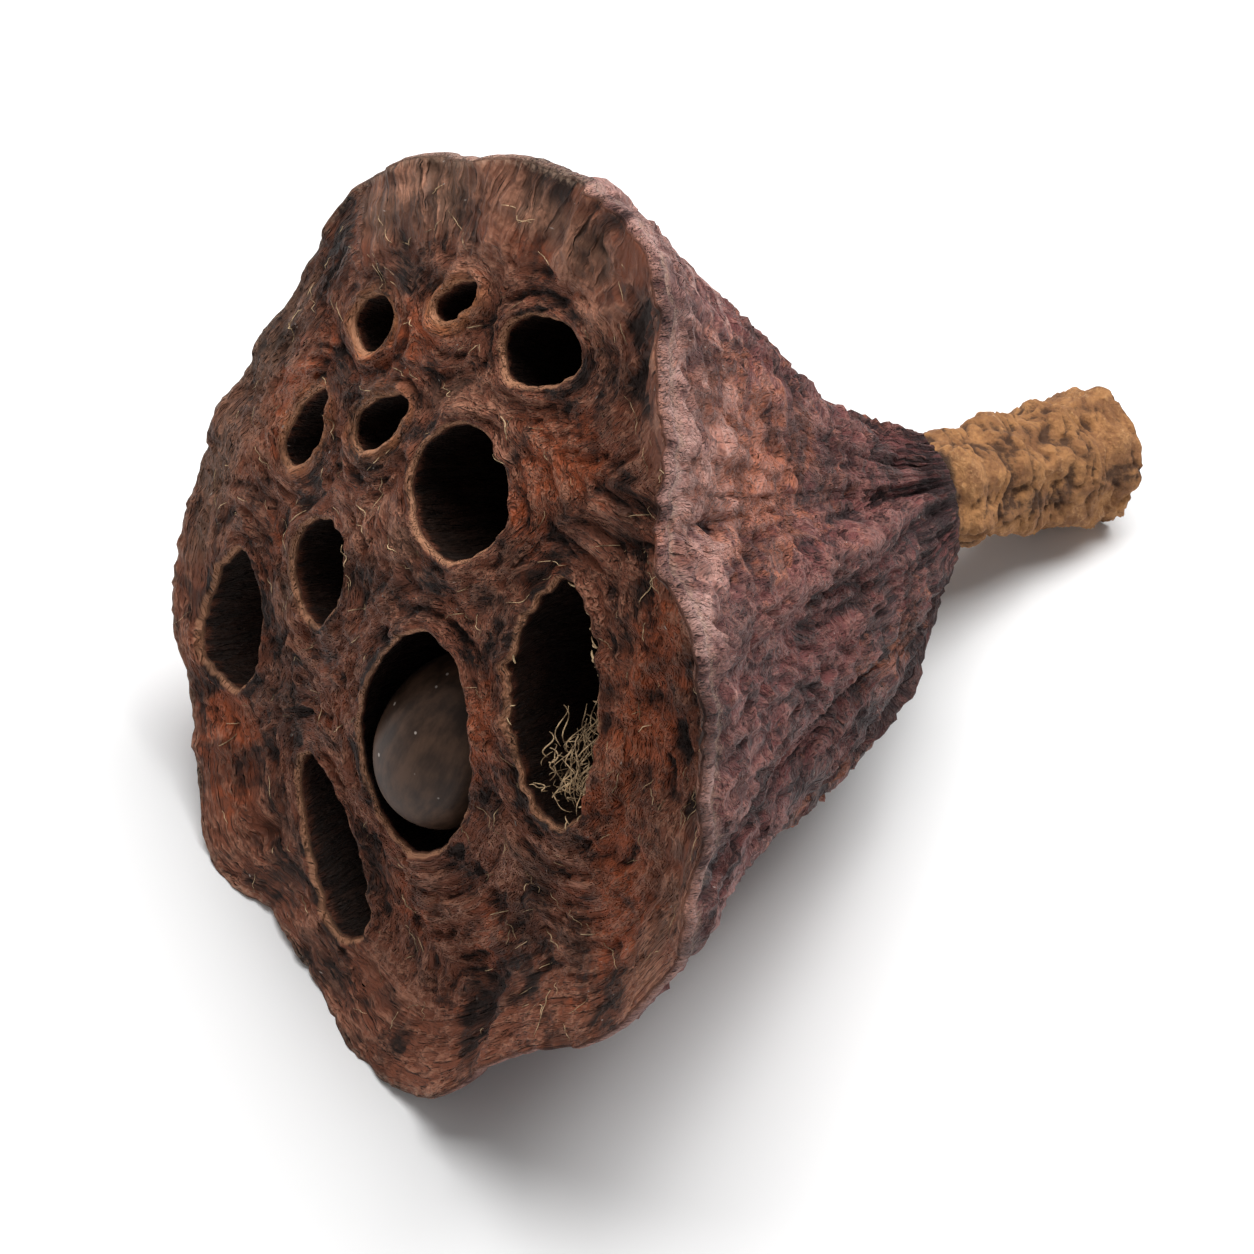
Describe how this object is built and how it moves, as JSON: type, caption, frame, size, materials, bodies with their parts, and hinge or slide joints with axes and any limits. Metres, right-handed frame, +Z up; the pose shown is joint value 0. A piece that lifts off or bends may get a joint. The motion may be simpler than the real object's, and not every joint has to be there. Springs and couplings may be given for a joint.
{
  "type": "dried lotus pod",
  "caption": "Dried lotus seed pod lying on its side: a leathery funnel with a pitted, wavy-rimmed face, a seed left in its pit and a stub of corky stalk.",
  "frame": {"origin": "bottom centre of the bounding box, on the surface that the pod rests on", "axes": "+Z up from the resting surface; -Y is where the pitted face looks; +Y is where the stalk points, a little downwards; +X is to the right of someone who looks at the face"},
  "size_m": [0.0634, 0.0804, 0.0689],
  "materials": {
    "dried_receptacle": "matt, wrinkled dried plant skin",
    "corky_stalk": "rough cork",
    "seed_coat": "smooth, dull"
  },
  "bodies": {
    "root": {"receptacle": "dried_receptacle", "stalk_stub": "corky_stalk", "seed": "seed_coat"}
  },
  "joints": []
}
